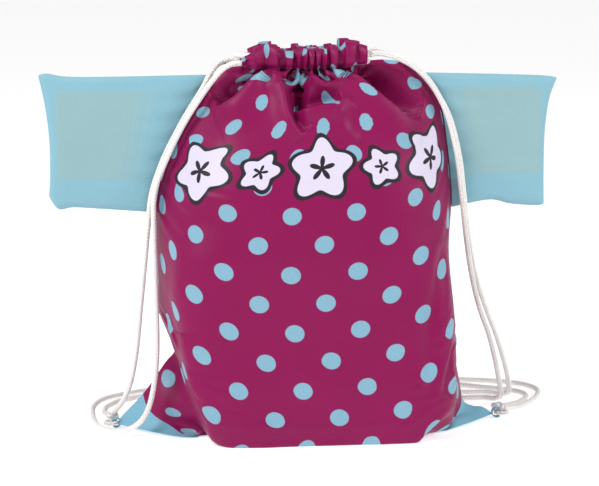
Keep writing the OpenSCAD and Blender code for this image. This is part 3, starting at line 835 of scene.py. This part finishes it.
def hem_piece(name, sign, seam_row, replaced):
    """sign is -1 in front and 1 behind. seam_row is the panel's top edge, which the tunnel joins."""
    t = np.linspace(0, 1, HEM_COLUMNS + 1)
    base = resampled(seam_row, t)
    share = np.linspace(0, 1, ACROSS + 1)
    c = np.cos(np.interp(t, share, hem_phase))
    bend = np.sin(np.interp(t, share, hem_phase) * 1.7 + 1.1 * sign)
    lumps = smooth_line([(x, z, 0) for x, z in HEM_TOP], 300)
    top = np.interp(base[:, 0], lumps[:, 0], lumps[:, 1])
    x_fold = 0.0015 * bend
    # up the outside, over the top and down inside: depth, height, shift in x and the place on the cloth
    walls = [
        (np.abs(base[:, 1]), base[:, 2], 0 * t, 0.0),
        (np.interp(np.abs(base[:, 1]), [0, .03], [.0125, .0225]) + .0008 * c, base[:, 2] * .6 + .3345 * .4,
         x_fold * 0.3, 0.003),
        (.0184 + .0034 * (1 + c), .3368 + 0 * t, x_fold * 0.8, 0.007),
        (.0184 + .0036 * (1 + c) + .0008 * bend, .3425 + 0 * t, x_fold, 0.012),
        (.0176 + .0030 * (1 + c), top - .0035, x_fold * 1.3, 0.018),
        (.0158 + .0014 * c + .0010 * bend, top - .0006, x_fold * 1.6, 0.021),
        (.0128 + .0008 * c + .0010 * bend, top - .0004, x_fold * 1.6, 0.023),
        (.0104 - .0008 * c, top - .0040, x_fold * 1.2, 0.028),
        (.0094 - .0011 * c, .3425 + 0 * t, x_fold, 0.033),
        (.0094 - .0010 * c, .3365 + 0 * t, x_fold * 0.6, 0.038),
        (.0100 - .0008 * c, .3325 + 0 * t, x_fold * 0.3, 0.042),
    ]
    points, cut = [], []
    for depth, z, dx, climbed in walls:
        points.append(np.stack([base[:, 0] + dx, sign * depth, z], axis=1))
        cut.append(np.stack([(t - 0.5) * BAG_W, 0 * t + (sign > 0), 0 * t + climbed], axis=1))
    shape = (len(walls), HEM_COLUMNS + 1)
    g = np.arange(shape[0] * shape[1]).reshape(shape)
    piece = piece_from(name, np.concatenate(points), quads(g, sign < 0), np.concatenate(cut), [bag_cloth])
    finer(piece)
    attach(piece, "bag")
    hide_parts(replaced)

    # one row of stitches that closes the tunnel
    depth, z, dx, _ = walls[1]
    row = resampled(np.stack([base[:, 0] + dx, sign * (depth + STITCH_R), z], axis=1),
                    np.linspace(0, 1, 3 * STITCHES + 1))
    points, faces, cut = [], [], []
    for k in range(STITCHES):
        skin, sides, place = cord_skin(row[3 * k:3 * k + 3], STITCH_R, relief=0)
        faces += [tuple(v + len(points) for v in face) for face in sides]
        points += skin.tolist()
        cut += place.tolist()
    stitches = piece_from(name.replace("tunnel", "stitches"), points, faces, cut, [thread_cloth])
    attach(stitches, "bag")
    return piece, stitches


front_hem = hem_piece("front_hem_tunnel", -1, bag_points[grid[0]], "front_hem")
back_hem = hem_piece("back_hem_tunnel", 1, bag_points[back_grid[0]], "back_hem")

# ---- Sleeves
# Flat pockets of plain light blue polyester, sewn into the side seams at their roots, each with a card
# inside that keeps it straight.
SLEEVE_ROWS, SLEEVE_COLUMNS = 44, 50
SLEEVE_Y = 0.004
SLEEVE_W, SLEEVE_H = 0.10, 0.122
PUFF, CLOTH_GAP, CARD_BLUR = 0.0034, 0.0002, 0.002
HINGE_AXIS = {"left": (-0.3688, 0, -0.9295), "right": (-0.1796, 0, 0.9837)}
CARD_BOX = {side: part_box(f"{side}_sleeve_card") for side in ("left", "right")}
# The outline seen from the front, as places in x and z
SLEEVE_EDGES = {
    "left": {"top": [(-.170, .3245), (-.212, .3250), (-.230, .3280), (-.2375, .3265)],
             "outer": [(-.2375, .3265), (-.2325, .3020), (-.2290, .2720), (-.2285, .2400), (-.2300, .2160)],
             "bottom": [(-.2300, .2160), (-.2215, .2045), (-.2080, .2060), (-.180, .2040)]},
    "right": {"top": [(.170, .3240), (.212, .3225), (.228, .3215), (.2370, .3200)],
              "outer": [(.2370, .3200), (.2300, .3000), (.2265, .2700), (.2262, .2350), (.2270, .2020)],
              "bottom": [(.2270, .2020), (.2180, .2010), (.1950, .2030), (.175, .2070)]}}
sleeve_cloth, tree, shader = new_material("plain_polyester", Sheen_Weight=0.15, Sheen_Roughness=0.45,
                                          Specular_IOR_Level=0.35)
place = cut_place(tree)
card_behind = split(tree, place)[1]
weave = placed(tree, plain_weave, Place=place, Thread=THREAD)
dye = placed(tree, uneven_dye, Place=place, Patch_Size=0.06)
blue = mixed(tree, dye["Shade"], linear(120, 170, 185), linear(138, 184, 198))
card_tint = mixed(tree, dye["Shade"], linear(132, 168, 172), linear(148, 180, 183))
tinted = mixed(tree, maths(tree, "MULTIPLY", card_behind, 0.85), blue, card_tint)
shaded = add_node(tree, "ShaderNodeMix", {"data_type": "RGBA", "blend_type": "SOFT_LIGHT"}, n0=0.25,
                  n6=tinted, n7=weave["Shade"])
finish_surface(tree, shader, shaded.outputs[2], roughness=(dye["Gloss"], 0.16, 0.46),
               bump=(weave["Height"], 0.12, 0.0002))

card_board, tree, shader = new_material("grey_board", Specular_IOR_Level=0.3)
place = add_node(tree, "ShaderNodeTexCoord").outputs["Object"]
dye = placed(tree, uneven_dye, Place=place, Patch_Size=0.01)
finish_surface(tree, shader, mixed(tree, dye["Shade"], linear(186, 182, 168), linear(214, 210, 198)),
               roughness=(dye["Gloss"], 0.2, 0.7))
for name in ("left_sleeve_card", "right_sleeve_card"):
    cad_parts[name].data.materials.clear()
    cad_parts[name].data.materials.append(card_board)


def flat_line(points, count):
    return smooth_line([(x, z, 0) for x, z in points], count)[:, :2]


def sleeve_grid(side, seam):
    """An even grid over the sleeve's outline, from its root on the seam to its outer edge."""
    edges = SLEEVE_EDGES[side]
    root = np.array([(p[0], p[2]) for p in seam if 0.200 < p[2] < 0.326])
    root = resampled(root, np.linspace(0, 1, SLEEVE_ROWS + 1))
    top = flat_line([tuple(root[0])] + edges["top"], SLEEVE_COLUMNS + 1)
    outer = flat_line(edges["outer"], SLEEVE_ROWS + 1)
    bottom = flat_line([tuple(root[-1])] + edges["bottom"][::-1], SLEEVE_COLUMNS + 1)
    u = np.linspace(0, 1, SLEEVE_COLUMNS + 1)[None, :, None]
    v = np.linspace(0, 1, SLEEVE_ROWS + 1)[:, None, None]
    corners = ((1 - u) * (1 - v) * top[0] + u * (1 - v) * top[-1] + (1 - u) * v * bottom[0]
               + u * v * bottom[-1])
    return ((1 - v) * top[None] + v * bottom[None] + (1 - u) * root[:, None] + u * outer[:, None]
            - corners), u[..., 0] + 0 * v[..., 0], v[..., 0] + 0 * u[..., 0]


for side, sign, seam in (("left", -1, LEFT_SEAM), ("right", 1, RIGHT_SEAM)):
    plan, u, v = sleeve_grid(side, smooth_line(seam, LINE_STEPS))
    x, z = plan[..., 0], plan[..., 1]
    from_edge = np.minimum(np.minimum(v, 1 - v) * SLEEVE_H, (1 - u) * SLEEVE_W)
    from_root = u * SLEEVE_W
    puff = PUFF * (1 - np.exp(-from_edge / 0.0022)) * (0.45 + 0.55 * (1 - np.exp(-from_root / 0.008)))
    # 1 where the card lies behind the cloth, fading towards the root
    lowest, highest = CARD_BOX[side]
    inside = (np.clip((np.abs(x) - 0.126 - 0.20 * (0.320 - z)) / 0.024, 0, 1)
              * np.clip((max(abs(lowest[0]), abs(highest[0])) - np.abs(x)) / CARD_BLUR, 0, 1)
              * np.clip((z - lowest[2]) / CARD_BLUR, 0, 1) * np.clip((highest[2] - z) / CARD_BLUR, 0, 1))
    # small creases that fan out from the root, and a slight sag over the rest
    creases = (np.sin((z - 0.205) * 330 - from_root * 42 * (0.26 - z) / 0.05)
               + 0.6 * np.sin(z * 190 + x * 120))
    sag = (0.0006 * np.sin(x * 95 + z * 40) * np.sin(z * 70) + 0.0004 * np.sin(x * 31 - z * 57)
           + 0.0013 * creases * np.exp(-from_root / 0.018))
    sag = sag * (1 - np.exp(-from_edge / 0.006)) * (1 - np.exp(-from_root / 0.004))
    axis = np.array(HINGE_AXIS[side])
    outward = np.cross(axis, [0, 1, 0])
    outward *= sign * np.sign(outward[0])
    for half, face in (("front", -1), ("back", 1)):
        y = SLEEVE_Y + sag + face * (puff + CLOTH_GAP)
        points = np.stack([x, y, z], axis=2).reshape(-1, 3)
        cut = np.stack([x, inside, z], axis=2).reshape(-1, 3)
        g = np.arange(x.size).reshape(x.shape)
        piece = piece_from(f"{side}_sleeve_{half}_cloth", points, quads(g, (sign < 0) == (face < 0)), cut,
                           [sleeve_cloth])
        finer(piece)
        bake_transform(piece)
        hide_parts(f"{side}_sleeve_{half}")

# ---- Floor and light
# A plain white table top that runs on behind the bag and glows a little, which is painted light that keeps
# it pale where the bag's shadow falls and lights the bag a little from below, in a white room with a soft
# lamp on each side.
WHITE = (1, 1, 1, 1)
TABLE_DARK, TABLE_LIGHT = (0.80, 0.80, 0.80, 1), (0.82, 0.82, 0.82, 1)
LAMP_AIM = Vector((0, 0, 0.17))
bpy.ops.mesh.primitive_plane_add(size=14, location=(0, 3, -0.0005))
floor = bpy.context.object
floor.name = "floor"
# its emission is painted light, a glow that fills in the shadows cast on the table
paint, tree, shader = new_material("white_table", Roughness=0.6, Emission_Color=WHITE,
                                   Emission_Strength=0.52)
place = add_node(tree, "ShaderNodeTexCoord").outputs["Object"]
dye = placed(tree, uneven_dye, Place=place, Patch_Size=0.4)
finish_surface(tree, shader, mixed(tree, dye["Shade"], TABLE_DARK, TABLE_LIGHT))
floor.data.materials.append(paint)

world = bpy.data.worlds.new("white_room")
world.use_nodes = True
background = world.node_tree.nodes["Background"].inputs
background["Color"].default_value = WHITE
background["Strength"].default_value = 0.50
scene.world = world


def lamp(name, place, size, power):
    light = bpy.data.lights.new(name, "AREA")
    light.energy, light.size = power, size
    made = bpy.data.objects.new(name, light)
    scene.collection.objects.link(made)
    made.location = place
    made.rotation_euler = (LAMP_AIM - Vector(place)).to_track_quat("-Z", "Y").to_euler()


lamp("left_lamp", (-1.45, -0.95, 1.95), 1.0, 38)
lamp("right_lamp", (1.7, -0.85, 1.5), 1.0, 20)
